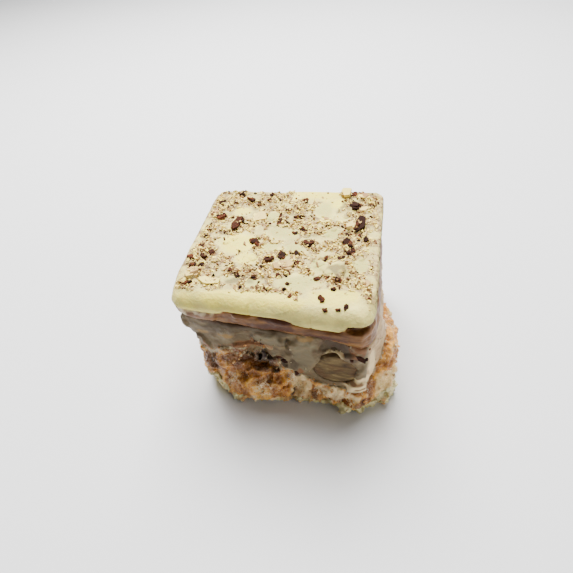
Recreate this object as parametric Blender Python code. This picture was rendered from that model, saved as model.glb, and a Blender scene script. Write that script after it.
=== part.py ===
"""Vanilla caramel toffee: one hand-cut square of a layered slab.

Metres, +Z up. The origin is on the base, under the middle of the cut square, and the front cut
looks along -Y. From the bottom: a thin coat of white chocolate, brittle toffee, vanilla nougat
with an almond cut across in it, soft caramel, and white chocolate strewn with chopped almonds.
Sizes below are in millimetres and are turned into metres as each vertex is placed.
"""

import math
import random

import bmesh
import bpy
from mathutils import Matrix, Vector, noise

MM = 0.001

# The cut square, seen from above, as it left the knife: no side is quite parallel to another.
FRONT_LEFT = Vector((-18.9, -17.3))
FRONT_RIGHT = Vector((18.9, -19.7))
BACK_RIGHT = Vector((19.0, 19.6))
BACK_LEFT = Vector((-19.0, 17.4))
HEIGHT = 31.5

# Each layer's upper face, away from the cut edges.
BASE_TOP = 2.2
TOFFEE_TOP = 9.0
NOUGAT_TOP = 23.8
CARAMEL_TOP = 27.2

SEGMENTS = 92          # points round every layer, so that neighbours share their seams
GAP = 0.3              # air between two touching pieces
SEAT_SHARE = 0.8       # within this share of the block's width a seam is flat and hidden
CAP_INSET = 0.2        # the ring inside a layer's rim that is moved there, on a cylinder of radius 1
EDGE_RADIUS = 1.0      # the poured chocolate's soft upper edge
FRONT_ROLL = 2.2       # and how much more the knife drew it down along the front

# Where each seam runs across the front cut: (X, height).
FRONT_BASE_LINE = (
    (-19, 5.0), (-16, 6.3), (-13, 5.4), (-10.5, 2.6), (-7, 1.8), (4, 1.8), (9, 2.6), (19, 2.8),
)
FRONT_TOFFEE_LINE = (
    (-19, 15.8), (-13, 15.6), (-9, 17.6), (-3, 18.8), (0, 14.4), (3, 12.2), (5.5, 11.6), (8, 9.4),
    (19, 8.6),
)
FRONT_NOUGAT_LINE = ((-19, 24.8), (-14, 24.9), (-9, 24.1), (0, 24.0), (8, 23.6), (14, 23.2), (19, 21.4))
FRONT_CARAMEL_LINE = (
    (-19, 26.9), (-10, 26.9), (-8, 27.9), (3, 27.8), (6, 26.4), (14, 26.2), (16, 28.3), (19, 28.7),
)

# The same along the right-hand cut: (Y, height).
RIGHT_BASE_LINE = ((-19.5, 2.8), (-13, 6.0), (-8, 5.2), (0, 3.0), (20, 2.4))
RIGHT_TOFFEE_LINE = ((-19, 8.8), (-15, 16.0), (-8, 18.4), (0, 15.0), (8, 11.0), (20, 11.2))

# How far the brittle foot broke out past the knife's cut, along the front and the right.
FRONT_FOOT = (
    (-19, -0.9), (-16, -0.7), (-12.5, 0.2), (-9.5, 1.7), (-5, 1.2), (2, -0.3), (10, -0.8), (15.5, 1.4),
    (19, 0.4),
)
RIGHT_FOOT = ((-19, 0.3), (-16.5, 2.0), (-12.5, 6.2), (-6, 5.8), (0, 4.2), (6, 2.6), (20, 1.5))
RIGHT_BULGE = ((-20, 0.5), (-14, 1.6), (-6, 1.8), (4, 1.4), (20, 0.7))

# The almond that the knife went through: middle, half sizes, how far back its cut face stands.
ALMOND_MIDDLE = Vector((12.7, -16.8, 14.6))
ALMOND_HALF = Vector((4.8, 4.0, 4.2))
ALMOND_FACE = -18.6

# The crack down the nougat from the caramel: where it ends inside, its half width and half
# height at a cutter's length in front of that, and its lean in degrees.
CRACK_END = Vector((3.1, -16.4, 20.2))
CRACK_HALF = (1.0, 7.6)
CRACK_LENGTH = 5.0
CRACK_LEAN = 4

# Large almond pieces in the top: X, Y, length, width, height over the chocolate, turn in degrees.
TOP_CHUNKS = (
    (-11.3, 4.6, 4.2, 2.5, 1.3, 78),
    (14.3, 5.6, 4.6, 3.0, 1.7, 70),
    (11.6, -9.2, 4.6, 4.0, 1.3, 20),
    (1.1, -8.2, 4.2, 2.7, 0.8, 8),
    (13.2, -1.4, 3.6, 2.6, 1.2, 80),
    (-16.1, -12.0, 3.4, 2.8, 1.2, 10),
    (-16.2, 7.4, 3.8, 2.6, 1.1, 60),
    (13.3, 13.0, 4.0, 3.2, 1.2, -20),
    (11.2, 17.8, 2.6, 2.2, 2.2, 0),
    (15.2, 16.8, 3.0, 2.4, 1.0, 30),
    (-15.2, 15.2, 3.2, 2.2, 0.8, 5),
    (-15.4, -4.6, 3.2, 2.2, 0.9, 35),
    (-2.6, 13.4, 3.4, 2.2, 0.8, 150),
    (-7.0, 7.8, 3.0, 2.2, 0.6, 20),
    (-12.2, -13.2, 3.6, 1.9, 0.6, -5),
    (7.4, 7.6, 2.4, 1.9, 0.6, 30),
    (1.9, 9.2, 3.0, 1.8, 0.7, 10),
    (5.3, -0.9, 2.6, 1.8, 0.8, 25),
    (-5.8, -1.3, 3.0, 1.5, 0.7, -40),
    (16.2, 2.0, 2.6, 1.5, 0.8, -50),
    (15.9, -11.6, 2.8, 1.8, 0.8, 20),
    (9.0, -14.6, 2.2, 1.4, 0.6, -20),
)

# Where the finer chopped nut lies thick: X, Y, radius, how many bits.
CRUMB_DRIFTS = (
    (-15.0, 11.4, 3.2, 8),
    (-15.0, -8.4, 3.0, 8),
    (-8.2, -10.8, 3.4, 9),
    (4.2, 4.4, 3.2, 9),
    (-7.4, 13.0, 3.6, 9),
    (14.6, 9.8, 3.0, 8),
    (-1.6, -12.0, 3.0, 6),
    (7.0, -6.4, 3.0, 6),
    (14.8, -5.6, 2.8, 6),
    (-4.4, 6.6, 3.0, 6),
    (1.4, 11.8, 2.6, 5),
    (-13.6, 0.6, 3.0, 5),
    (9.6, 2.4, 2.6, 4),
    (-3.2, -5.0, 2.6, 4),
)
CRUMB_SIZE = (0.9, 1.7)


def clear_scene():
    for obj in list(bpy.data.objects):
        bpy.data.objects.remove(obj)


def collection(name):
    made = bpy.data.collections.new(name)
    bpy.context.scene.collection.children.link(made)
    return made


def finish(name, colour, roughness):
    """A Principled material of one colour, not metallic."""
    made = bpy.data.materials.new(name)
    made.use_nodes = True
    shader = made.node_tree.nodes["Principled BSDF"]
    shader.inputs["Base Color"].default_value = (*colour, 1)
    shader.inputs["Roughness"].default_value = roughness
    shader.inputs["Metallic"].default_value = 0
    return made


def ease(share):
    """0 below 0, 1 above 1, and a smooth rise between."""
    share = min(1, max(0, share))
    return share * share * (3 - 2 * share)


def along(points, place):
    """The value at a place on a line of (place, value) points, smooth between them."""
    if place <= points[0][0]:
        return points[0][1]
    for (start, low), (end, high) in zip(points, points[1:]):
        if place <= end:
            return low + (high - low) * ease((place - start) / (end - start))
    return points[-1][1]


def hump(value, middle, half_width):
    """1 at the middle, falling smoothly to 0 a half width away."""
    return ease(1 - abs(value - middle) / half_width)


def grain(place, scale, seed):
    """Smooth noise from -1 to 1, whose bumps are about a scale apart."""
    return noise.noise(Vector(place) / scale + Vector((seed, 2 * seed, 3 * seed)))


def crag(place, scale, seed):
    """Broken facets from 0 to 1, as where brittle toffee cracks."""
    distances, _ = noise.voronoi(Vector(place) / scale + Vector((seed, 0, seed)))
    return min(1, distances[1] - distances[0])


class Rim:
    """One of the points round the cut square, with the direction that is outwards there.

    The direction fans out towards the corners, so that moving in doesn't fold a corner over.
    """

    def __init__(self, index, squareness):
        angle = 2 * math.pi * index / SEGMENTS
        across, back = math.cos(angle), math.sin(angle)
        size = (abs(across) ** squareness + abs(back) ** squareness) ** (1 / squareness)
        self.u, self.v = across / size, back / size
        left, right = (1 - self.u) / 2, (1 + self.u) / 2
        front = FRONT_LEFT * left + FRONT_RIGHT * right
        rear = BACK_LEFT * left + BACK_RIGHT * right
        self.place = front * (1 - self.v) / 2 + rear * (1 + self.v) / 2
        self.front = ease((-self.v - 0.6) / 0.34)
        self.right = ease((self.u - 0.6) / 0.34)
        self.left_corner = hump(self.u, -1, 0.35) * hump(self.v, -1, 0.45)
        self.out = Vector((self.u ** 3, self.v ** 3))

    def at(self, offset):
        return self.place + self.out * offset

    def height(self, flat, swing, seed, front_line, right_line=None):
        """How high a seam shows at the cut: wavy round the block, drawn along the front and right."""
        x, y = self.place
        level = flat + swing * grain((x, y, 0), 9, seed)
        if right_line:
            level += self.right * (along(right_line, y) - level)
        return level + self.front * (along(front_line, x) - level)


LOWER_RIM = [Rim(index, 13) for index in range(SEGMENTS)]
TOP_RIM = [Rim(index, 26) for index in range(SEGMENTS)]


# Each seam has its height at the cut, and how far it stands out from the cut square.

def under_height(rim):
    """The coat's rim lifts a little off the table where it is ragged."""
    x, y = rim.place
    return 0.5 * max(0, grain((x, y, 0), 5, 11.0)) + 1.2 * rim.left_corner - GAP / 2


def under_edge(rim):
    x, y = rim.place
    return base_edge(rim) + 0.5 * grain((x, y, 2), 2.2, 6.6) - 0.3 - 1.2 * rim.left_corner


def base_height(rim):
    return rim.height(BASE_TOP + 0.3, 1.0, 3.1, FRONT_BASE_LINE, RIGHT_BASE_LINE)


def base_edge(rim):
    x, y = rim.place
    ragged = 0.7 * grain((x, y, 0), 4, 1.3) - 0.2
    foot = rim.right * along(RIGHT_FOOT, y)
    return ragged + foot + rim.front * (1 - rim.right) * along(FRONT_FOOT, x)


def toffee_height(rim):
    return rim.height(TOFFEE_TOP + 2, 3.0, 5.7, FRONT_TOFFEE_LINE, RIGHT_TOFFEE_LINE)


def toffee_edge(rim):
    x, y = rim.place
    ragged = 0.6 * grain((x, y, 5), 4, 2.1) - 0.4
    hollow = rim.front * 1.6 * hump(x, -3.5, 6)
    return ragged + 0.45 * rim.right * along(RIGHT_FOOT, y) - hollow - 1.6 * rim.left_corner


def nougat_height(rim):
    return rim.height(NOUGAT_TOP, 0.9, 7.3, FRONT_NOUGAT_LINE)


def nougat_edge(rim):
    x, y = rim.place
    bulge = rim.right * along(RIGHT_BULGE, y)
    return 0.25 * grain((x, y, 9), 6, 4.4) + bulge - 0.7 * rim.left_corner - 0.5


def caramel_height(rim):
    return rim.height(CARAMEL_TOP, 0.9, 9.9, FRONT_CARAMEL_LINE)


def caramel_edge(rim):
    x, y = rim.place
    bulge = 0.5 * rim.right * along(RIGHT_BULGE, y)
    return 0.25 * grain((x, y, 13), 5, 6.2) + bulge - 0.2 * rim.left_corner - 0.5


def upper_height(rim):
    return HEIGHT + GAP / 2


def upper_edge(rim):
    return -(EDGE_RADIUS + FRONT_ROLL * rim.front)


# Each wall is how far a layer stands out between its two seams, at a share of its height.

def base_wall(rim, place, share):
    return 0.35 + 0.6 * grain(place, 2.4, 8.8)


def toffee_wall(rim, place, share):
    """Cracked crags, the lump that stands forward low in the front, and the dark hollow over it."""
    x = place[0]
    thick = min(1, (toffee_height(rim) - base_height(rim)) / 11)
    lump = rim.front * 1.9 * hump(x, -3.5, 8.5) * hump(share, 0.34, 0.4)
    hollow = rim.front * 4.4 * hump(x, -3.4, 5.4) * hump(share, 0.82, 0.26)
    knob = rim.front * 0.9 * hump(x, -15.5, 3) * hump(share, 0.45, 0.4)
    shoulder = rim.right * 0.36 * along(RIGHT_FOOT, place[1]) * hump(share, 0.72, 0.5)
    rough = 2.1 * crag(place, 4.2, 4.0) + 0.7 * grain(place, 1.9, 2.0) - 0.5
    return thick * rough + lump + knob + shoulder - hollow


def nougat_wall(rim, place, share):
    """A knife-cut face with soft tears, deeper over the almond, and a lip pressed over the toffee."""
    x = place[0]
    tongue = rim.front * 0.8 * hump(x, 2.5, 4) * hump(share, 0.15, 0.35)
    shelf = rim.front * 1.7 * hump(x, 12.4, 4.2) * hump(share, 0.84, 0.2)
    return 0.5 * grain(place, 5, 3.3) + 0.3 * grain(place, 2.2, 9.1) + 0.15 + tongue - shelf


def caramel_wall(rim, place, share):
    return 0.4 + 0.35 * grain(place, 3, 5.5)


def chocolate_wall(rim, place, share):
    """The coat stands past the caramel, and rolls over to the flat top along a quarter circle."""
    radius = -upper_edge(rim)
    lip = 0.65 * ease(share / 0.2) + 0.15 * grain(place, 4, 7.7) - caramel_edge(rim) * ease(share / 0.25)
    slant = (upper_edge(rim) - caramel_edge(rim)) * share
    rise = max(0, place[2] - HEIGHT + radius) / radius
    return lip - slant - radius * (1 - math.sqrt(max(0, 1 - rise * rise)))


UNDER = (under_height, under_edge, -GAP / 2)
BASE = (base_height, base_edge, BASE_TOP)
TOFFEE = (toffee_height, toffee_edge, TOFFEE_TOP)
NOUGAT = (nougat_height, nougat_edge, NOUGAT_TOP)
CARAMEL = (caramel_height, caramel_edge, CARAMEL_TOP)
UPPER = (upper_height, upper_edge, HEIGHT + GAP / 2)


def cylinder_in_rows(shares):
    """A closed cylinder of unit size, with an edge ring at each share of its height and inset caps."""
    bm = bmesh.new()
    bmesh.ops.create_cone(bm, cap_ends=True, segments=SEGMENTS, radius1=1, radius2=1, depth=1)
    for share in shares:
        everything = bm.verts[:] + bm.edges[:] + bm.faces[:]
        bmesh.ops.bisect_plane(bm, geom=everything, plane_co=(0, 0, share - 0.5), plane_no=(0, 0, 1))
    caps = [face for face in bm.faces if len(face.verts) > 4]
    bmesh.ops.inset_individual(bm, faces=caps, thickness=CAP_INSET)
    return bm


def link_mesh(name, bm, where, material=None):
    """Closes off a bmesh as a named object with its finish."""
    bmesh.ops.recalc_face_normals(bm, faces=bm.faces)
    mesh = bpy.data.meshes.new(name)
    bm.to_mesh(mesh)
    bm.free()
    obj = bpy.data.objects.new(name, mesh)
    if material:
        obj.data.materials.append(material)
    where.objects.link(obj)
    return obj


def make_layer(name, shares, low, high, wall, where, material, rims=LOWER_RIM):
    """A layer between two seams: a cylinder whose every vertex is moved to its rim point.

    A seam is its height at the cut, how far it stands out there, and its flat height inside.
    """
    bm = cylinder_in_rows(shares)
    for vertex in bm.verts:
        index = round(math.atan2(vertex.co.y, vertex.co.x) * SEGMENTS / (2 * math.pi)) % SEGMENTS
        share = vertex.co.z + 0.5
        if vertex.co.xy.length < 1 - CAP_INSET / 2:
            flat = high[2] - GAP / 2 if share > 0.5 else low[2] + GAP / 2
            vertex.co = Vector((*(LOWER_RIM[index].place * SEAT_SHARE), flat)) * MM
            continue
        rim = rims[index]
        bottom, top = low[0](rim) + GAP / 2, high[0](rim) - GAP / 2
        height = bottom + (top - bottom) * share
        edge = low[1](rim) * (1 - share) + high[1](rim) * share
        if 0.001 < share < 0.999:
            edge += wall(rim, (*rim.at(edge), height), share)
        vertex.co = Vector((*rim.at(edge), height)) * MM
    quads = [face for face in bm.faces if len(face.verts) == 4]
    bmesh.ops.triangulate(bm, faces=quads, quad_method="SHORT_EDGE")
    return link_mesh(name, bm, where, material)


def shape_with(target, operation, tool):
    """Applies one Boolean to the target, by a single cutter or by a collection of them."""
    modifier = target.modifiers.new("shape", "BOOLEAN")
    modifier.operation = operation
    modifier.solver = "EXACT"
    if isinstance(tool, bpy.types.Collection):
        modifier.operand_type = "COLLECTION"
        modifier.collection = tool
    else:
        modifier.object = tool
    bpy.context.view_layer.update()
    evaluated = target.evaluated_get(bpy.context.evaluated_depsgraph_get())
    shaped = bpy.data.meshes.new_from_object(evaluated)
    target.modifiers.remove(modifier)
    target.data = shaped
    shaped.name = target.name


def make_chunk(size, turn, place, seed, where, rounds):
    """A chopped piece of almond: a few flat facets, no two pieces the same."""
    bm = bmesh.new()
    bmesh.ops.create_icosphere(bm, subdivisions=rounds, radius=0.5)
    for vertex in bm.verts:
        push = 1 + 0.32 * grain(vertex.co, 0.55, seed)
        vertex.co = Vector([direction * length for direction, length in zip(vertex.co, size)]) * push
    turned = Matrix.Translation(place * MM) @ Matrix.Rotation(turn, 4, "Z") @ Matrix.Scale(MM, 4)
    bmesh.ops.transform(bm, matrix=turned, verts=bm.verts)
    return link_mesh("chopped_almond", bm, where)


def strew_almonds(top):
    """Fuses the chopped almonds to the white chocolate they were strewn on, the largest first."""
    nuts = collection("chopped_almonds")
    for number, (x, y, length, width, rise, turn) in enumerate(TOP_CHUNKS):
        deep = max(width * 0.8, rise * 1.6)
        place = Vector((x, y, HEIGHT + rise - deep / 2))
        rounds = 2 if number < 8 else 1
        make_chunk((length, width, deep), math.radians(turn), place, 1.7 * number, nuts, rounds)
    shake = random.Random(7)
    for x, y, radius, count in CRUMB_DRIFTS:
        for _ in range(count):
            angle, reach = shake.uniform(0, 2 * math.pi), radius * math.sqrt(shake.uniform(0.02, 1))
            size = shake.uniform(*CRUMB_SIZE)
            aside, back = reach * math.cos(angle), reach * math.sin(angle)
            spot = Vector((x + aside, y + back, HEIGHT + 0.12 * size))
            shape = (size * 1.25, size, size * 0.8)
            make_chunk(shape, shake.uniform(0, math.pi), spot, shake.uniform(0, 50), nuts, 1)
    shape_with(top, "UNION", nuts)
    for nut in list(nuts.objects):
        bpy.data.objects.remove(nut)
    bpy.data.collections.remove(nuts)


def ellipsoid(name, middle, half, where, material=None):
    bm = bmesh.new()
    bmesh.ops.create_icosphere(bm, subdivisions=3, radius=1)
    for vertex in bm.verts:
        reach = Vector([direction * length for direction, length in zip(vertex.co, half)])
        vertex.co = (middle + reach) * MM
    return link_mesh(name, bm, where, material)


def halve_almond(almond):
    """Cuts the almond off level at its face, as the knife did with the slab."""
    bm = bmesh.new()
    bm.from_mesh(almond.data)
    everything = bm.verts[:] + bm.edges[:] + bm.faces[:]
    cut = bmesh.ops.bisect_plane(
        bm, geom=everything, plane_co=(0, ALMOND_FACE * MM, 0), plane_no=(0, -1, 0), clear_outer=True,
    )
    edges = [item for item in cut["geom_cut"] if isinstance(item, bmesh.types.BMEdge)]
    bmesh.ops.edgeloop_fill(bm, edges=edges)
    bmesh.ops.recalc_face_normals(bm, faces=bm.faces)
    bm.to_mesh(almond.data)
    bm.free()


def crack_cutter(where):
    """A thin four-sided spike whose point is in the nougat, so that the crack closes at both ends."""
    bm = bmesh.new()
    bmesh.ops.create_cone(bm, cap_ends=True, segments=4, radius1=1, radius2=0, depth=1)
    width, height = CRACK_HALF
    size = Matrix.Diagonal((width, height, CRACK_LENGTH, 1))
    lying = Matrix.Rotation(math.radians(CRACK_LEAN), 4, "Y") @ Matrix.Rotation(math.radians(-90), 4, "X")
    middle = CRACK_END - Vector((0, CRACK_LENGTH / 2, 0))
    spike = Matrix.Translation(middle * MM) @ Matrix.Scale(MM, 4) @ lying @ size
    bmesh.ops.transform(bm, matrix=spike, verts=bm.verts)
    return link_mesh("crack", bm, where)


def set_in_almond(nougat, where, material):
    """The nougat is scooped a gap wider than the almond that sits in it, and cracked beside it."""
    cutters = collection("cutters")
    scoop = ellipsoid("almond_scoop", ALMOND_MIDDLE, ALMOND_HALF + Vector((GAP, GAP, GAP)), cutters)
    for cutter in (scoop, crack_cutter(cutters)):
        cutter.hide_render = True
        cutter.display_type = "WIRE"
        shape_with(nougat, "DIFFERENCE", cutter)
    almond = ellipsoid("almond_slice", ALMOND_MIDDLE, ALMOND_HALF, where, material)
    halve_almond(almond)


def main():
    clear_scene()
    square = collection("vanilla_caramel_toffee")
    white = finish("white_chocolate", (0.76, 0.72, 0.54), 0.45)
    toffee = finish("toffee", (0.60, 0.30, 0.09), 0.35)
    soft = finish("nougat", (0.66, 0.57, 0.48), 0.55)
    caramel = finish("caramel", (0.40, 0.20, 0.10), 0.4)
    nut = finish("almond", (0.42, 0.33, 0.20), 0.6)

    make_layer("white_chocolate_base", (0.5,), UNDER, BASE, base_wall, square, white)
    make_layer(
        "toffee_layer", (0.14, 0.28, 0.42, 0.56, 0.70, 0.85), BASE, TOFFEE, toffee_wall,
        square, toffee,
    )
    nougat = make_layer(
        "nougat_layer", (0.12, 0.32, 0.52, 0.72, 0.9), TOFFEE, NOUGAT, nougat_wall, square, soft,
    )
    make_layer("caramel_layer", (0.25, 0.75), NOUGAT, CARAMEL, caramel_wall, square, caramel)
    top = make_layer(
        "white_chocolate_top", (0.16, 0.36, 0.56, 0.72, 0.84, 0.94), CARAMEL, UPPER, chocolate_wall,
        square, white, rims=TOP_RIM,
    )
    set_in_almond(nougat, square, nut)
    strew_almonds(top)


main()
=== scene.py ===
import math
import random

import bpy
from mathutils import Euler, Matrix, Quaternion, Vector, noise
from mathutils.kdtree import KDTree


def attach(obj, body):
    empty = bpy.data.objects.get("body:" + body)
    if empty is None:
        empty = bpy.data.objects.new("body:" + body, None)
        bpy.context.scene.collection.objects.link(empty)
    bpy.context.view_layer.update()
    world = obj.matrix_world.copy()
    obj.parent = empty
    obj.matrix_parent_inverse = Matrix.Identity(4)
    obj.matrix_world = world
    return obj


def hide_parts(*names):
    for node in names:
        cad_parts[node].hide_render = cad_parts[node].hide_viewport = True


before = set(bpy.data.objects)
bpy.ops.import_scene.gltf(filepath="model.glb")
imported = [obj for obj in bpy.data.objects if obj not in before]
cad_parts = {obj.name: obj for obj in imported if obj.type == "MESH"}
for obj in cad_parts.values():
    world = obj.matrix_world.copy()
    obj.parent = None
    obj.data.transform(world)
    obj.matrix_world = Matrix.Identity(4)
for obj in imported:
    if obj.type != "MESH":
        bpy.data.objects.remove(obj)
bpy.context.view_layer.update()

# Blender works in metres. MM turns the sizes below, which are in millimetres, into them.
MM = 0.001

# Camera
# It looks down on the piece from the front and a little from the right, and leans to one side.
# LENS is its focal length in millimetres.
CAMERA_PLACE = Vector((18.8, -75.3, 91.4)) * MM
LOOKS_DOWN = math.radians(43.2)
STANDS_TO_THE_RIGHT = math.radians(14.4)
LEANS = math.radians(-5.9)
LENS = 29.5
NEAR_CLIP = 10 * MM

bpy.ops.object.select_all(action="DESELECT")
bpy.ops.object.camera_add(location=CAMERA_PLACE)
camera = bpy.context.object
camera.name = "camera"
aim = Euler((math.pi / 2 - LOOKS_DOWN, 0, STANDS_TO_THE_RIGHT)).to_quaternion()
camera.rotation_euler = (aim @ Quaternion((0, 0, 1), LEANS)).to_euler()
camera.data.lens = LENS
camera.data.clip_start = NEAR_CLIP
bpy.context.scene.camera = camera

# Floor and light
# A sheet of pale paper under two soft lamps: the main one stands behind the piece, a little to its
# left, and a weak one low at the right. Each lamp is a name, a place, a size and a power.
FLOOR_SIZE = 4.0
PAPER_TONE = 0.66
ROOM_LIGHT = 0.12
LAMPS = (
    ("soft_lamp", Vector((-0.06, 0.19, 0.40)), 0.35, 11),
    ("weak_lamp", Vector((0.28, -0.12, 0.07)), 0.20, 0.4),
)

bpy.ops.mesh.primitive_plane_add(size=FLOOR_SIZE)
floor = bpy.context.object
floor.name = "paper_sheet"
paper = bpy.data.materials.new("pale_paper")
paper.use_nodes = True
paper_shader = paper.node_tree.nodes["Principled BSDF"]
paper_shader.inputs["Base Color"].default_value = (PAPER_TONE, PAPER_TONE, PAPER_TONE, 1)
paper_shader.inputs["Roughness"].default_value = 0.9
floor.data.materials.append(paper)

for name, place, size, power in LAMPS:
    bpy.ops.object.light_add(type="AREA", location=place)
    lamp = bpy.context.object
    lamp.name = name
    lamp.data.size = size
    lamp.data.energy = power
    lamp.rotation_euler = place.to_track_quat("Z", "Y").to_euler()

world = bpy.data.worlds.new("pale_room")
world.use_nodes = True
world.node_tree.nodes["Background"].inputs["Color"].default_value = (1, 1, 1, 1)
world.node_tree.nodes["Background"].inputs["Strength"].default_value = ROOM_LIGHT
bpy.context.scene.world = world


# White chocolate top
# Poured while warm over the caramel and spread by hand, so it lies in gentle swells. The knife
# drew its front edge down and left the other edges cleaner.
WELD = 0.01 * MM
COAT_TOP = 31.5
COAT_GRID = 0.22
GROWTH = 0.17  # each layer swells by this over its node, so that the layers touch


def welded_copy(node, name):
    """A new object with the node's own surface, its loose triangles welded into one skin."""
    bpy.ops.object.select_all(action="DESELECT")
    piece = bpy.data.objects.new(name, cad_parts[node].data.copy())
    bpy.context.scene.collection.objects.link(piece)
    piece.select_set(True)
    bpy.context.view_layer.objects.active = piece
    bpy.ops.object.mode_set(mode="EDIT")
    bpy.ops.mesh.select_all(action="SELECT")
    bpy.ops.mesh.remove_doubles(threshold=WELD)
    bpy.ops.object.mode_set(mode="OBJECT")
    piece.data.materials.clear()
    return piece


def shape(piece, kind, **settings):
    """Adds a modifier with these settings to a piece, and applies it."""
    bpy.context.view_layer.objects.active = piece
    bpy.ops.object.modifier_add(type=kind)
    modifier = piece.modifiers[-1]
    for setting, value in settings.items():
        setattr(modifier, setting, value)
    bpy.ops.object.modifier_apply(modifier=modifier.name)


def even_skin(piece, grid, smoothing):
    """Gives a piece an even fine mesh, rubs off the facets of its node, and swells it a little."""
    shape(piece, "REMESH", mode="VOXEL", voxel_size=grid * MM)
    shape(piece, "SMOOTH", factor=0.5, iterations=smoothing)
    shape(piece, "DISPLACE", strength=GROWTH * MM, mid_level=0)


def roughen(piece, kind, size, depth, **settings):
    """Displaces a piece along its normals by one of Blender's textures, of a size and depth in mm."""
    texture = bpy.data.textures.new(f"{piece.name}_{kind}", kind)
    texture.noise_scale = size * MM
    for setting, value in settings.items():
        setattr(texture, setting, value)
    shape(
        piece, "DISPLACE", texture=texture, texture_coords="LOCAL", strength=depth * MM,
        vertex_group="cut" if "cut" in piece.vertex_groups else "",
    )


def sculpt(piece, move):
    """Moves every vertex by what a function of its place, in mm, and its normal gives."""
    placed = []
    for vertex in piece.data.vertices:
        placed.extend(vertex.co + move(vertex.co / MM, vertex.normal) * MM)
    piece.data.vertices.foreach_set("co", placed)
    piece.data.update()


def paint_values(piece, name, values):
    """Keeps one value, from 0 to 1, at every vertex for the finish to read by its name."""
    piece.data.attributes.new(name, "FLOAT", "POINT").data.foreach_set("value", values)


def paint(piece, name, value_at):
    """Paints a piece with what a function of the place, in mm, gives."""
    paint_values(piece, name, [value_at(vertex.co / MM) for vertex in piece.data.vertices])


def ease(share):
    """0 below 0, 1 above 1, and a smooth rise between."""
    share = min(1, max(0, share))
    return share * share * (3 - 2 * share)


def grain(place, size, seed=0.0):
    """Smooth noise from -1 to 1, whose bumps are about a size apart."""
    return noise.noise(place / size + Vector((seed, 2 * seed, 3 * seed)))


def patch(across, up, rows, waver=0.0, edge=0.5):
    """1 in the middle of any of these ovals (middle, middle, half, half), falling to 0 past its rim."""
    found = 0.0
    for middle, height, half, tall in rows:
        reach = math.hypot((across - middle) / half, (up - height) / tall)
        found = max(found, ease((1 + edge / 2 - reach + waver) / edge))
    return found


def hand_over(piece, node, finish, smooth=True):
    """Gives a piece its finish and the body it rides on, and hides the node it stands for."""
    piece.data.materials.append(finish.material)
    if smooth:
        piece.data.shade_smooth()
    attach(piece, "root")
    if node:
        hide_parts(node)


def seen(red, green, blue):
    """A screen colour, from 0 to 255, in the shader's linear light."""
    shares = [value / 255 for value in (red, green, blue)]
    return (*[((share + 0.055) / 1.055) ** 2.4 for share in shares], 1)


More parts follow.
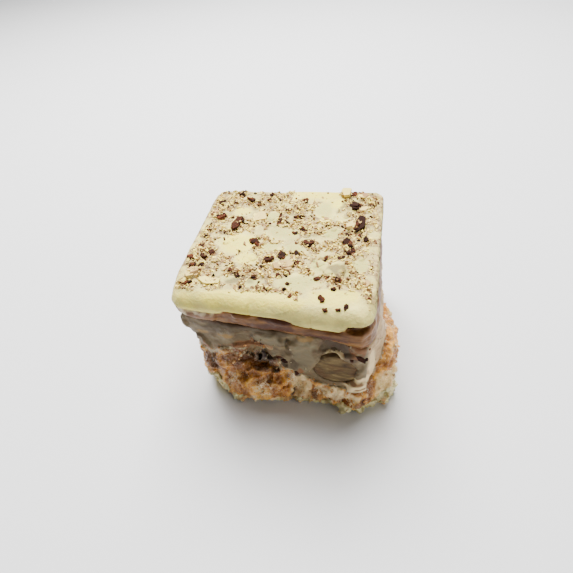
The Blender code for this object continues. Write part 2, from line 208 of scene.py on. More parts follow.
class Finish:
    """A material as it is made: its shader, and the patterns that are linked into it."""

    def __init__(self, name, roughness, **even):
        self.material = bpy.data.materials.new(name)
        self.material.use_nodes = True
        self.tree = self.material.node_tree
        self.shader = self.tree.nodes["Principled BSDF"]
        self.shader.inputs["Roughness"].default_value = roughness
        for socket, value in even.items():
            self.shader.inputs[socket.replace("_", " ")].default_value = value
        self.place = self.tree.nodes.new("ShaderNodeTexCoord").outputs["Object"]

    def join(self, value, socket):
        """Links an output to a socket, or sets the socket to a plain value."""
        if isinstance(value, bpy.types.NodeSocket):
            self.tree.links.new(value, socket)
        else:
            socket.default_value = value

    def drawn_out(self, x, y, z, middle=(0, 0, 0)):
        """The place on the piece from a middle, in mm, with patterns drawn out by these factors."""
        mapping = self.tree.nodes.new("ShaderNodeMapping")
        scale = (1 / x, 1 / y, 1 / z)
        mapping.inputs["Scale"].default_value = scale
        mapping.inputs["Location"].default_value = [-at * MM * by for at, by in zip(middle, scale)]
        self.join(self.place, mapping.inputs["Vector"])
        return mapping.outputs["Vector"]

    def cloud(self, size, detail=3, roughness=0.55, distortion=0.0, place=None):
        """Cloudy noise from 0 to 1, of a size in mm."""
        node = self.tree.nodes.new("ShaderNodeTexNoise")
        node.inputs["Scale"].default_value = 1 / (size * MM)
        node.inputs["Detail"].default_value = detail
        node.inputs["Roughness"].default_value = roughness
        node.inputs["Distortion"].default_value = distortion
        self.join(place or self.place, node.inputs["Vector"])
        return node.outputs["Fac"]

    def painted(self, name):
        """A value that was painted on the piece."""
        node = self.tree.nodes.new("ShaderNodeAttribute")
        node.attribute_name = name
        return node.outputs["Fac"]

    def ramp(self, value, *stops):
        """Colours at (value, colour) stops, and a blend between them."""
        node = self.tree.nodes.new("ShaderNodeValToRGB")
        elements = node.color_ramp.elements
        while len(elements) < len(stops):
            elements.new(0.5)
        for element, (stop, colour) in zip(elements, stops):
            element.position = stop
            element.color = colour
        self.join(value, node.inputs["Fac"])
        return node.outputs["Color"]

    def band(self, value, low, high, start=0.0, end=1.0):
        """A value's range from low to high, drawn out to start and end and held there."""
        node = self.tree.nodes.new("ShaderNodeMapRange")
        self.join(value, node.inputs["Value"])
        for socket, limit in zip(("From Min", "From Max", "To Min", "To Max"), (low, high, start, end)):
            node.inputs[socket].default_value = limit
        return node.outputs["Result"]

    def work(self, operation, first, second):
        """One sum of two values, such as ADD or MULTIPLY."""
        node = self.tree.nodes.new("ShaderNodeMath")
        node.operation = operation
        self.join(first, node.inputs[0])
        self.join(second, node.inputs[1])
        return node.outputs["Value"]

    def mix(self, share, first, second):
        """The first colour at share 0 and the second at 1."""
        node = self.tree.nodes.new("ShaderNodeMix")
        node.data_type = "RGBA"
        for socket, value in ((0, share), (6, first), (7, second)):
            self.join(value, node.inputs[socket])
        return node.outputs[2]

    def laid_over(self, under, name, most, over):
        """A colour over another where a value is painted, which covers it to this share at most."""
        return self.mix(self.band(self.painted(name), 0, 1, 0, most), under, over)

    def colour(self, value):
        """Gives the shader its colour."""
        self.join(value, self.shader.inputs["Base Color"])

    def gloss(self, value):
        """Gives the shader a roughness that varies over the piece."""
        self.join(value, self.shader.inputs["Roughness"])

    def relief(self, height, depth):
        """Fine relief that the mesh is too coarse for, with its depth in mm."""
        node = self.tree.nodes.new("ShaderNodeBump")
        node.inputs["Strength"].default_value = 1
        node.inputs["Distance"].default_value = depth * MM
        self.join(height, node.inputs["Height"])
        self.join(node.outputs["Normal"], self.shader.inputs["Normal"])


# Where the chocolate shows bare between the nuts, seen from above: X, Y, half width, half depth.
BARE_CREAM = (
    (4.6, 17.4, 6.2, 2.6), (-9.4, -1.8, 4.0, 3.4), (-11.4, 9.6, 1.8, 1.6), (12.4, -15.6, 5.0, 2.2),
    (-6.4, -6.4, 2.8, 1.8), (9.8, 14.4, 1.6, 2.2), (-3.0, -17.0, 15.0, 1.4),
)
BARE_GREY = (
    (7.2, 11.6, 2.4, 3.6), (-0.6, 2.4, 3.4, 2.2), (4.8, -12.4, 3.8, 2.0), (9.6, 3.2, 1.6, 2.0),
    (2.4, -2.2, 2.0, 1.4), (-4.0, 8.4, 1.4, 1.6), (8.2, -7.4, 2.0, 1.6), (-7.8, -12.8, 1.8, 1.0),
    (16.4, -6.6, 1.5, 1.7), (-3.8, -13.4, 1.6, 1.0), (-2.2, -2.2, 1.8, 1.4), (11.8, -8.8, 2.2, 2.0),
)
FRONT_EDGE = -16.2
TOP_FROM = 29.8  # the coat's top begins at this height
COATED_NUT = (11.8, -8.8, 2.8, 2.6)  # a nut that the chocolate ran over
# Nuts under a thin skin of chocolate, and painted shade in front of the coated nut, as above.
VEILED_AND_SHADED = (
    (11.8, -8.6, 1.9, 1.7), (12.4, -10.8, 1.6, 0.9), (1.5, 9.8, 1.5, 1.1), (-7.2, 7.6, 1.5, 1.3),
    (13.8, 8.2, 0.9, 1.6), (-16.0, 4.4, 1.4, 1.8), (-8.8, 13.2, 1.2, 2.2), (-5.2, 12.0, 1.4, 1.2),
    (-17.2, 16.6, 1.6, 1.2), (13.6, 13.4, 2.6, 2.2), (-6.6, -13.0, 2.2, 0.9), (5.0, 4.0, 1.8, 1.2),
    (16.8, 15.0, 1.0, 2.4), (-17.2, 10.0, 1.2, 3.0), (-13.4, 17.2, 2.4, 1.0), (-14.6, 2.6, 1.6, 1.4),
    (16.6, 7.0, 0.9, 3.0), (2.6, 8.6, 1.6, 0.9), (-16.6, -8.2, 1.6, 2.6),
)
# Where caramel stuck to the lip, seen from the front: X, height, half width, half height.
CARAMELLED = ((16.6, 27.8, 2.2, 1.5), (0.8, 28.0, 3.4, 0.7), (-6.0, 28.2, 2.6, 0.4))
LIP_ENDS = 14.3  # right of this the front lip is broken off
BROKEN_UP_TO = 29.0  # and it is broken up to this height
CREASES = (-3.4, 8.2)  # where the front edge is creased from top to bottom
CREASE_DEPTH = 0.16
SUNK = 0.45  # the share of their height that the node's nuts sink into the coat


def bare(place):
    """1 where no nuts lie on the coat."""
    return patch(place.x, place.y, BARE_CREAM + BARE_GREY, 0.45 * grain(place, 2.4, 1.0))


def spread(place, normal):
    """Sinks the node's nuts, lets the chocolate lie in swells, creases its front and breaks its lip."""
    over = max(0, place.z - COAT_TOP)
    swells = 0.20 * grain(place, 6.5, 2.0) + 0.10 * grain(place, 2.2, 3.0)
    swells += 0.55 * patch(place.x, place.y, (COATED_NUT,), 0.3 * grain(place, 1.6), 1.0)
    broken = ease((place.x - LIP_ENDS) / 0.9) * ease(-place.y - 15.5)
    lift = broken * max(0, BROKEN_UP_TO + 0.5 * grain(place, 0.9) - place.z)
    crease = 0.0
    for middle in CREASES:
        crease -= CREASE_DEPTH * ease(1 - abs(place.x - middle - 0.4 * grain(place, 2, 4.0)) / 0.35)
    up = swells * ease(normal.z) + lift - SUNK * over
    return Vector((0, 0, up)) + normal * crease * ease(-normal.y)


coat = welded_copy("white_chocolate_top", "white_chocolate_coat")
even_skin(coat, COAT_GRID, 3)
lip = coat.vertex_groups.new(name="lip")
for vertex in coat.data.vertices:
    lip.add([vertex.index], ease((FRONT_EDGE + 3 - vertex.co.y / MM) / 3), "REPLACE")
shape(coat, "SMOOTH", factor=0.5, iterations=8, vertex_group="lip")
sculpt(coat, spread)
roughen(coat, "CLOUDS", 1.1, 0.14)
paint(coat, "clear", lambda place: patch(place.x, place.y, BARE_GREY, 0.5 * grain(place, 3.0, 5.0), 0.9))
# The cut sides are painted in a darker, nutty colour: cut nuts, and painted shade on these sides.
paint_values(coat, "sliced", [
    ease((0.7 - vertex.normal.z) / 0.2) * ease(vertex.co.y / MM + 16.5) for vertex in coat.data.vertices
])
paint(coat, "caramelled", lambda place: ease((-place.y - 14) / 2) * ease((29.4 - place.z) / 0.8) * patch(
    place.x, place.z, CARAMELLED, 0.5 * grain(place, 1.2),
))
paint(coat, "veiled_and_shaded", lambda place: ease((place.z - TOP_FROM) / 1.2) * patch(
    place.x, place.y, VEILED_AND_SHADED, 0.7 * grain(place, 1.4, 9.0), 0.8,
))
paint(coat, "creamy", lambda place: patch(place.x, place.y, BARE_CREAM, 0.6 * grain(place, 3.0, 6.0), 0.9))

ivory = Finish(
    "white_chocolate", 0.5, Specular_IOR_Level=0.12, Subsurface_Weight=0.12, Subsurface_Scale=0.5 * MM,
)
milky = ivory.ramp(
    ivory.cloud(5, detail=4),
    (0.32, seen(182, 170, 104)), (0.5, seen(210, 196, 116)), (0.68, seen(234, 220, 126)),
)
cleared = ivory.laid_over(milky, "clear", 0.85, seen(182, 175, 96))
creamed = ivory.laid_over(cleared, "creamy", 0.75, seen(230, 212, 84))
dust = ivory.ramp(
    ivory.cloud(1.3, detail=6, roughness=0.75),
    (0.38, seen(80, 56, 40)), (0.46, seen(126, 100, 70)),
    (0.54, seen(168, 144, 98)), (0.68, seen(216, 200, 134)),
)
# Darker over nuts under a thin skin, and painted shade in front of the coated nut.
veiled_and_shaded = ivory.laid_over(creamed, "veiled_and_shaded", 0.85, seen(112, 96, 62))
dusted = ivory.laid_over(veiled_and_shaded, "dusty", 0.9, dust)
# Cut nuts on the sides, darkened as painted shade.
nutty_and_shaded = ivory.ramp(
    ivory.cloud(1.2, detail=5, roughness=0.7, distortion=0.5),
    (0.38, seen(66, 46, 28)), (0.45, seen(120, 98, 62)),
    (0.52, seen(164, 152, 98)), (0.7, seen(196, 186, 122)),
)
sliced = ivory.mix(ivory.painted("sliced"), dusted, nutty_and_shaded)
caramelled = ivory.mix(ivory.painted("caramelled"), sliced, seen(112, 66, 38))
specks = ivory.band(ivory.cloud(0.5, detail=3, roughness=0.7), 0.60, 0.66)
speck_share = ivory.work("MULTIPLY", specks, ivory.band(ivory.painted("dusty"), 0, 1, 0.05, 0.9))
ivory.colour(ivory.mix(speck_share, caramelled, seen(92, 62, 42)))
ivory.gloss(ivory.band(ivory.painted("sliced"), 0, 1, 0.5, 0.8))
ivory.relief(ivory.cloud(0.5, detail=4, roughness=0.6), 0.16)


# Chopped almonds
# Roasted almonds in their skins, chopped on a board: every bit has flat cuts through its pale
# flesh and what is left of the brown skin on its round side. They were strewn on the wet coat.
# The larger bits: X, Y, length, width, turn in degrees, and 1 where their skin looks up.
# Smaller chips lie against each, and crumbs are strewn in clusters round them.
BITS = (
    (-11.2, 4.7, 4.6, 2.0, 80, 1), (15.0, 6.4, 5.2, 2.0, 80, 1), (13.6, 5.6, 4.2, 1.8, 70, 0),
    (5.3, -0.8, 2.6, 2.2, 30, 1), (-6.4, -0.9, 2.3, 1.5, 10, 1), (-5.1, -2.0, 2.0, 1.2, -60, 1),
    (0.2, -4.8, 2.1, 1.5, -70, 1), (3.4, -4.2, 2.2, 1.2, -75, 1), (3.9, -6.8, 2.0, 1.5, 70, 1),
    (-1.8, -6.4, 2.4, 1.2, 30, 1), (-2.6, -8.5, 1.5, 1.1, 30, 1), (2.4, 15.2, 2.0, 1.1, 70, 1),
    (-2.1, 6.0, 2.2, 1.0, 80, 1), (-2.4, 8.6, 2.2, 0.6, 85, 1), (-1.0, 11.2, 2.0, 1.2, 20, 1),
    (1.9, 8.4, 2.2, 1.0, 5, 1), (3.5, 4.0, 2.2, 1.2, -40, 1), (1.8, 2.6, 1.2, 1.0, 0, 1),
    (13.2, -0.4, 3.4, 1.6, -70, 1), (14.0, -2.6, 2.2, 1.8, 20, 1), (12.8, 3.0, 1.7, 1.3, 50, 1),
    (15.4, 2.6, 1.7, 0.9, -40, 1), (16.6, 1.5, 2.0, 1.0, -50, 1), (9.2, -4.9, 1.9, 0.8, 50, 1),
    (12.1, -4.5, 1.6, 0.9, 10, 1), (-17.0, -3.1, 1.8, 1.3, 60, 1), (-14.5, -5.0, 2.1, 1.6, -50, 1),
    (-15.5, -6.8, 2.4, 1.2, -30, 1), (-17.6, -7.3, 2.2, 1.3, 0, 1), (-16.6, -9.7, 1.7, 1.3, 40, 1),
    (-14.9, -10.0, 2.4, 1.5, -60, 1), (-9.3, -9.0, 2.7, 1.0, 20, 1), (-8.6, -10.4, 1.6, 1.0, -40, 1),
    (-7.2, -11.6, 1.6, 0.9, -50, 1), (-3.5, -12.0, 1.5, 1.0, -30, 1), (-2.3, -14.7, 1.4, 0.8, -30, 1),
    (0.9, -10.9, 1.8, 1.0, -50, 1), (2.5, -10.4, 1.8, 0.9, 30, 1), (2.8, -12.9, 1.0, 0.8, 0, 1),
    (6.6, -8.7, 1.0, 0.9, 0, 1), (8.3, -10.9, 1.5, 1.0, 60, 1), (11.7, -13.6, 1.0, 0.8, 40, 1),
    (9.7, -16.1, 1.7, 1.3, -60, 1), (5.2, -16.5, 1.4, 0.7, -70, 0), (4.1, -16.0, 1.2, 0.6, 60, 1),
    (10.7, -18.3, 0.9, 0.7, 0, 1), (13.0, -18.3, 0.9, 0.7, 0, 1), (14.4, -17.7, 1.5, 0.7, 80, 1),
    (-16.2, -14.4, 2.2, 1.1, 15, 1), (-16.8, 12.4, 2.6, 1.9, 20, 1), (-17.4, 8.6, 2.6, 1.6, 70, 0),
    (-15.8, 6.8, 2.4, 1.6, 30, 1), (-12.9, 16.6, 2.4, 1.5, 80, 1), (-10.2, 14.0, 2.8, 1.1, -45, 1),
    (-8.2, 12.6, 2.2, 0.9, -60, 1), (-6.2, 14.6, 1.6, 1.1, 40, 1), (-6.0, 16.8, 2.2, 0.8, 80, 1),
    (-3.4, 14.6, 2.8, 0.8, -30, 1), (13.2, 13.2, 3.4, 2.3, -30, 1), (15.6, 12.4, 2.0, 1.5, 40, 0),
    (12.0, -11.0, 2.0, 1.1, -20, 1), (17.4, -11.6, 2.0, 1.5, 30, 0), (-7.0, 7.9, 3.0, 2.6, 20, 0),
    (7.7, 7.4, 2.6, 2.2, 70, 0), (-12.4, -13.5, 3.8, 1.8, 0, 0), (1.0, -8.0, 4.0, 2.5, 5, 0),
    (-16.0, -11.9, 3.0, 2.6, 10, 0), (15.2, 17.0, 2.8, 2.2, 20, 0), (11.2, 17.6, 2.6, 2.2, 80, 0),
    (13.2, 18.2, 1.9, 1.6, 10, 1),
)
BIT_KINDS = 8
CHIPS = 4  # a larger bit is one chunk with three smaller ones against it
CRUMB_TRIES = 17000
SKIN_CRUMBS = 0.12  # the share of the crumbs that are skin
START_CUBE = 1.4  # the side of the cube that a crumb is cut from
STEEPEST = 0.75  # crumbs lie where the coat's normal points up by this or more


def chopped_bit(number, rounds, sides, top):
    """One bit as a unit solid, cut below, round its sides and above, at this height.

    A large bit is cut from a ball of so many rounds, and a crumb, with none, from a cube.
    """
    draw = random.Random(number)
    if rounds:
        bpy.ops.mesh.primitive_ico_sphere_add(subdivisions=rounds, radius=1)
    else:
        bpy.ops.mesh.primitive_cube_add(size=START_CUBE)
    bit = bpy.context.object
    bpy.ops.object.mode_set(mode="EDIT")
    upward = Vector((draw.uniform(-0.2, 0.2), draw.uniform(-0.2, 0.2), 1))
    cuts = [(Vector((0, 0, -1)), 0.3), (upward, top)]
    for side in range(sides):
        angle = 2 * math.pi * (side + draw.uniform(-0.3, 0.3)) / sides
        outward = Vector((math.cos(angle), math.sin(angle), draw.uniform(-0.2, 0.4)))
        cuts.append((outward, draw.uniform(0.45, 0.8)))
    for direction, reach in cuts:
        bpy.ops.mesh.select_all(action="SELECT")
        bpy.ops.mesh.bisect(
            plane_co=direction.normalized() * reach, plane_no=direction, use_fill=True, clear_outer=True,
        )
    bpy.ops.mesh.select_all(action="SELECT")
    bpy.ops.mesh.quads_convert_to_tris()
    bpy.ops.object.mode_set(mode="OBJECT")
    corners = [vertex.co * (1 + 0.12 * grain(vertex.co, 0.4, number)) for vertex in bit.data.vertices]
    faces = [tuple(face.vertices) for face in bit.data.polygons]
    bpy.data.objects.remove(bit)
    return corners, faces


chunk_kinds = [chopped_bit(number, 2, 5, 0.4) for number in range(BIT_KINDS)]
crumb_kinds = [chopped_bit(number + BIT_KINDS, 0, 3, 0.6) for number in range(BIT_KINDS)]


def strew(name, kinds, spots):
    """Joins a copy of a kind at every (place, turn, size, kind, skin, tint) spot into one piece."""
    corners, faces, skins, tints = [], [], [], []
    for place, turn, size, kind, skin, tint in spots:
        points, sides = kinds[kind]
        first = len(corners)
        stretch = turn.to_matrix() @ Matrix.Diagonal(size)
        corners += [(place + stretch @ point) * MM for point in points]
        faces += [tuple(first + index for index in side) for side in sides]
        skins += [skin] * len(sides)
        tints += [tint] * len(sides)
    mesh = bpy.data.meshes.new(name)
    mesh.from_pydata(corners, [], faces)
    for layer, values in (("skin", skins), ("tint", tints)):
        mesh.attributes.new(layer, "FLOAT", "FACE").data.foreach_set("value", values)
    piece = bpy.data.objects.new(name, mesh)
    bpy.context.scene.collection.objects.link(piece)
    return piece


def on_coat(x, y):
    """The coat's surface at a place seen from above, in mm, and its normal."""
    hit, where, normal, _ = coat.ray_cast(Vector((x, y, 2 * COAT_TOP)) * MM, Vector((0, 0, -1)))
    return (where / MM, normal) if hit else (None, None)


def any_turn(draw):
    """A turn to any side, as a crumb falls."""
    return Euler([draw.uniform(0, 2 * math.pi) for _ in range(3)]).to_quaternion()


bpy.context.view_layer.update()
shake = random.Random(3)
larger = []
for x, y, length, width, turn, skin_up in BITS:
    for chip in range(CHIPS):
        share = 0.62 if chip == 0 else shake.uniform(0.25, 0.45)
        reach = 0 if chip == 0 else 0.36 * shake.uniform(0.6, 1)
        angle, along = shake.uniform(0, 2 * math.pi), math.radians(turn)
        aside = Vector((reach * length * math.cos(angle), reach * width * math.sin(angle), 0))
        aside.rotate(Euler((0, 0, along)))
        spot, _ = on_coat(x + aside.x, y + aside.y)
        if spot:
            lean = shake.uniform(-0.4, 0.4) if chip else 0
            lie = Euler((shake.uniform(-0.2, 0.2), shake.uniform(-0.2, 0.2), along + lean))
            size = Vector((max(0.35, length * share), max(0.3, width * share * 1.15), 1.0))
            sunk = spot - Vector((0, 0, shake.uniform(0.12, 0.3)))
            kind = shake.randrange(BIT_KINDS)
            larger.append((sunk, lie.to_quaternion(), size, kind, skin_up, shake.random()))
chunks = strew("chopped_almonds", chunk_kinds, larger)

bit_places = KDTree(len(BITS))
for number, bit in enumerate(BITS):
    bit_places.insert((bit[0], bit[1], 0), number)
bit_places.balance()


def clustered(place):
    """How thick the crumbs lie: in clusters, most of all round the larger bits."""
    gap = bit_places.find((place.x, place.y, 0))[2]
    thick = 0.52 + 1.5 * grain(place, 2.4, 8.0) + 0.5 * ease(1.9 - gap) - 1.3 * bare(place)
    return max(0.02, ease(thick)) * (0.15 if place.y < FRONT_EDGE else 1)


def dusty(place):
    """How thick fine nut dust lies on the coat's top. It ends at the front edge."""
    thick = ease(1.2 * clustered(place) + 0.3 - 0.4 * bare(place))
    return thick * ease((place.z - TOP_FROM) / 1.2) * ease((place.y - FRONT_EDGE + 1) / 2)


paint(coat, "dusty", dusty)
hand_over(coat, "white_chocolate_top", ivory)

crumbs = []
for _ in range(CRUMB_TRIES):
    x, y = shake.uniform(-18.7, 18.7), shake.uniform(-17.4, 19.3)
    spot, normal = on_coat(x, y)
    if not spot or normal.z < STEEPEST or shake.random() > clustered(spot):
        continue
    size = 0.17 + 0.42 * shake.random() ** 3
    stretch = Vector((size * shake.uniform(1.0, 1.7), size * shake.uniform(0.9, 1.2), size * 0.7))
    sunk = spot - normal * 0.25 * size
    skin_share = 1.0 if shake.random() < SKIN_CRUMBS else 0.0
    turn, kind = any_turn(shake), shake.randrange(BIT_KINDS)
    crumbs.append((sunk, turn, stretch, kind, skin_share, shake.random() ** 1.4))
crumb_piece = strew("almond_crumbs", crumb_kinds, crumbs)

almond = Finish("roasted_almond", 0.85, Specular_IOR_Level=0.1)
flesh = almond.ramp(
    almond.painted("tint"),
    (0.0, seen(246, 228, 120)), (0.4, seen(218, 192, 114)),
    (0.75, seen(164, 128, 84)), (1.0, seen(100, 68, 46)),
)
skin = almond.ramp(
    almond.painted("tint"),
    (0.0, seen(34, 18, 11)), (0.5, seen(58, 30, 17)), (1.0, seen(98, 50, 26)),
)
wrinkled = almond.mix(almond.band(almond.cloud(0.5, detail=4), 0.42, 0.66), skin, seen(34, 18, 12))
almond.colour(almond.mix(almond.painted("skin"), flesh, wrinkled))
almond.relief(almond.cloud(0.3, detail=3), 0.10)
for piece in (chunks, crumb_piece):
    hand_over(piece, None, almond, smooth=False)


# Caramel
# A thin layer of sugar, cream and butter, cooked soft and poured over the nougat. The knife left its
# cuts smooth and streaked, and smeared chocolate over them at the left.
SIDE_GRID = 0.25
CUTS_FROM = 14.5  # the cut faces lie further than this from the middle
# The front cut stands this far out at X 0, and further by the slant for every mm to the right. So
# does the coat's lip over it. The cuts at the sides stand at SIDE_CUT.
FRONT_CUT, FRONT_SLANT = 17.4, 0.12
LIP_OUT, LIP_SLANT = 18.3, 0.06
SIDE_CUT = 20.0
LEFT_END = 18.8  # the left front corner is drawn out no further than this
DRAWN_OUT = 1.9  # nor by more than this


def cut_group(piece):
    """Marks the cut faces round a layer, so that its hidden seams stay as they are."""
    group = piece.vertex_groups.new(name="cut")
    for vertex in piece.data.vertices:
        aside = max(abs(vertex.co.x), abs(vertex.co.y)) / MM
        group.add([vertex.index], ease((aside - CUTS_FROM) / 2), "REPLACE")


def front(place):
    """1 on the front cut, 0 on the others. The front cut runs askew, nearer to us at the right."""
    from_front = place.y + FRONT_CUT + FRONT_SLANT * place.x
    from_side = SIDE_CUT - abs(place.x)
    return ease(from_side - from_front + 0.5)


def filled_out(place):
    """Draws the left front corner out under the coat, and fills it up to the coat's lip."""
    left = ease((-place.x - 11) / 4) * ease((-place.y - 4) / 8)
    sideways = min(DRAWN_OUT * left * ease((place.z - 16.5) / 6), max(0, place.x + LEFT_END))
    behind_lip = min(4.5, max(0, place.y + LIP_OUT + LIP_SLANT * place.x))
    share = ease((place.z - 24.8) / 2.0) * ease((-place.x - 8.5) / 2) * ease(-place.y - 9)
    return Vector((-sideways, -behind_lip * share, 1.3 * share))


# X, height, half width, half height, and how far it stands out or in.
CARAMEL_RELIEF = ((-5.0, 27.4, 2.0, 0.7, 0.5), (16.4, 27.6, 2.0, 0.9, -0.9), (-13.0, 25.6, 2.2, 0.8, 0.3))
# Painted shade in its hollows, and where chocolate is smeared on it, without the last number.
CARAMEL_HOLLOW_SHADE = ((16.4, 27.8, 2.0, 1.0), (1.2, 27.3, 2.8, 0.9), (10, 24.4, 5, 0.5), (0.8, 25.4, 4.6, 1.0))
SMEARED = ((-14.4, 28.0, 4.6, 1.2), (-17.6, 26.4, 0.9, 1.2))


def press(place, normal, rows, waver, edge=0.6):
    """How a cut is pressed in or out along its normal by ovals in the front."""
    depth = sum(row[4] * patch(place.x, place.z, (row[:4],), waver, edge) for row in rows)
    return normal * depth * front(place)


caramel_piece = welded_copy("caramel_layer", "caramel")
even_skin(caramel_piece, SIDE_GRID, 6)
cut_group(caramel_piece)
sculpt(caramel_piece, lambda place, normal: filled_out(place) + press(
    place, normal, CARAMEL_RELIEF, 0.3 * grain(place, 1.5),
))
roughen(caramel_piece, "CLOUDS", 3.0, 0.6)
roughen(caramel_piece, "CLOUDS", 0.8, 0.2)
# Painted shade in the hollows under the lip and along its lower edge.
paint(caramel_piece, "hollow", lambda place: front(place) * patch(
    place.x, place.z, CARAMEL_HOLLOW_SHADE, 0.5 * grain(place, 1.2),
))
paint(caramel_piece, "smeared", lambda place: front(place) * patch(
    place.x, place.z, SMEARED, 0.7 * grain(place, 0.9),
))

caramel = Finish(
    "caramel", 0.42, Specular_IOR_Level=0.25, Subsurface_Weight=0.1, Subsurface_Scale=0.6 * MM,
)
streaks = caramel.cloud(0.9, detail=4, place=caramel.drawn_out(6, 6, 1))
brown = caramel.ramp(
    streaks,
    (0.32, seen(88, 52, 20)), (0.5, seen(114, 74, 32)), (0.68, seen(140, 96, 44)),
)
# Painted shade, dark brown, in the hollows.
with_hollow_shade = caramel.mix(caramel.painted("hollow"), brown, seen(76, 42, 24))
caramel.colour(caramel.laid_over(with_hollow_shade, "smeared", 0.8, seen(200, 182, 140)))
caramel.relief(streaks, 0.15)
hand_over(caramel_piece, "caramel_layer", caramel)


# Nougat
# Egg white whipped with honey, set on the toffee as the thickest layer. It is tacky, so the knife
# dragged it in folds and tore it. Its cut front is painted darker, as painted shade.
NOUGAT_RELIEF = (
    (-0.6, 21.4, 3.2, 1.9, 0.6), (12.6, 20.6, 3.2, 2.2, -0.8), (6.4, 17.5, 2.6, 5.6, 0.5),
    (-15.2, 15.5, 1.6, 3.2, 0.6), (17.6, 9.6, 2.6, 2.0, 0.9), (3.1, 20.4, 0.4, 2.0, -0.5),
    (1.4, 15.2, 1.6, 1.2, -0.7), (-17.4, 21.8, 1.6, 2.2, 0.5), (-6.0, 17.6, 3.0, 0.8, 0.6),
    (18.0, 13.6, 1.4, 2.2, 0.5), (15.4, 11.6, 1.2, 0.8, -0.6), (0.2, 12.2, 1.4, 1.0, 0.5),
)
# Patches of its front cut: X, height, half width, half height.
SHADY = (
    (12.6, 21.6, 3.0, 1.9), (3.0, 20.8, 0.22, 1.5), (15.6, 18.9, 1.4, 1.0), (-9.0, 23.9, 6.0, 0.5),
    (1.4, 15.6, 1.4, 0.6),
)
# Painted shade, under the caramel and in the recess above the almond:
NOUGAT_SHADE_PATCHES = (
    (-8.6, 22.8, 6.0, 1.5), (0.4, 23.2, 4.0, 0.8), (5.2, 14.4, 1.6, 3.0), (-3.6, 20.6, 2.0, 1.2),
    (12.4, 21.0, 3.4, 2.4),
)
PLATES = ((-0.6, 21.2, 3.2, 1.6), (6.4, 18.0, 2.4, 4.6), (0.6, 12.6, 1.6, 1.2), (19.0, 17.0, 0.8, 6.0))
CREAM = (
    (17.8, 10.6, 3.0, 2.2), (19.0, 8.2, 2.2, 1.6), (2.8, 12.6, 1.4, 1.3), (13.5, 18.8, 2.6, 0.35),
    (-1.4, 18.2, 1.2, 0.5), (0.4, 14.0, 0.8, 0.6), (19.6, 15.0, 0.6, 4.0),
)
YELLOW = ((-9.6, 20.6, 2.0, 0.6), (6.8, 23.0, 1.5, 0.6), (-14.6, 20.4, 1.2, 0.6))
# Honey stains, and painted shade under the caramel and between the folds:
HONEY_STAIN_AND_SHADE = (
    (16.0, 11.0, 2.4, 0.4), (5.4, 12.0, 1.0, 1.8), (-15.4, 14.4, 1.2, 2.4), (17.0, 22.4, 1.9, 2.6),
    (-12.5, 25.2, 6.5, 0.6), (18.0, 9.6, 2.0, 0.25), (-6.4, 17.9, 3.4, 0.9), (-2.8, 18.2, 2.2, 1.6),
)


def front_patch(place, rows, size, seed=0.0, waver=0.6):
    """1 in ovals of the front cut with wavy rims."""
    return front(place) * patch(place.x, place.z, rows, waver * grain(place, size, seed))


nougat_piece = welded_copy("nougat_layer", "nougat")
even_skin(nougat_piece, SIDE_GRID, 9)
cut_group(nougat_piece)
sculpt(nougat_piece, lambda place, normal: filled_out(place) + press(
    place, normal, NOUGAT_RELIEF, 0.5 * grain(place, 1.8, 2.0), 0.35,
))
roughen(nougat_piece, "CLOUDS", 3.4, 0.8)
roughen(nougat_piece, "CLOUDS", 1.2, 0.22)
paint(nougat_piece, "shady", lambda place: front_patch(place, SHADY, 1.6, 0.0, 0.4))
# The front cut's mask, which takes the nougat's painted shade.
paint(nougat_piece, "front", front)
paint(nougat_piece, "plate", lambda place: front_patch(place, PLATES, 2.4, 5.0))
paint(nougat_piece, "cream", lambda place: ease((-place.y - 13) / 1.5) * patch(
    place.x, place.z, CREAM, 0.4 * grain(place, 1.8, 6.0),
))
paint(nougat_piece, "nougat_shade", lambda place: front_patch(place, NOUGAT_SHADE_PATCHES, 2.6, 7.0))
paint(nougat_piece, "yellow", lambda place: front_patch(place, YELLOW, 1.4, 2.0))
paint(nougat_piece, "honey", lambda place: front_patch(place, HONEY_STAIN_AND_SHADE, 1.2, 4.0, 0.9))


SEAMS_FROM = 14  # nearer to the middle than this the seams are hidden


def near(piece, other, reach):
    """How near every vertex of a cut face is to another piece: 1 touching, 0 beyond the reach."""
    tree = KDTree(len(other.data.vertices))
    for vertex in other.data.vertices:
        tree.insert(vertex.co, vertex.index)
    tree.balance()
    values = []
    for vertex in piece.data.vertices:
        aside = max(abs(vertex.co.x), abs(vertex.co.y)) / MM
        gap = tree.find(vertex.co)[2] / MM if aside > SEAMS_FROM else reach
        values.append(max(0, 1 - gap / reach))
    return values


nougat = Finish(
    "nougat", 0.55, Specular_IOR_Level=0.25, Subsurface_Weight=0.12, Subsurface_Scale=0.6 * MM,
)
folds = nougat.cloud(1.8, detail=5, distortion=0.8, place=nougat.drawn_out(2, 2, 1))
whipped = nougat.ramp(
    folds,
    (0.3, seen(150, 120, 84)), (0.5, seen(184, 154, 112)), (0.7, seen(210, 184, 138)),
)
# A darker copy of the nougat for the front cut: painted shade.
front_shade_copy = nougat.ramp(
    folds,
    (0.3, seen(88, 70, 46)), (0.5, seen(107, 90, 62)), (0.7, seen(126, 109, 78)),
)
cut_front = nougat.mix(nougat.painted("front"), whipped, front_shade_copy)
# Painted shade under the caramel and in the recesses.
with_nougat_shade = nougat.laid_over(cut_front, "nougat_shade", 0.7, seen(72, 56, 34))
plated = nougat.laid_over(with_nougat_shade, "plate", 0.7, seen(124, 112, 84))
folded = nougat.laid_over(plated, "cream", 0.9, seen(240, 214, 160))
shaded = nougat.laid_over(folded, "shady", 0.85, seen(86, 68, 52))
yellowed = nougat.laid_over(shaded, "yellow", 0.75, seen(142, 108, 52))
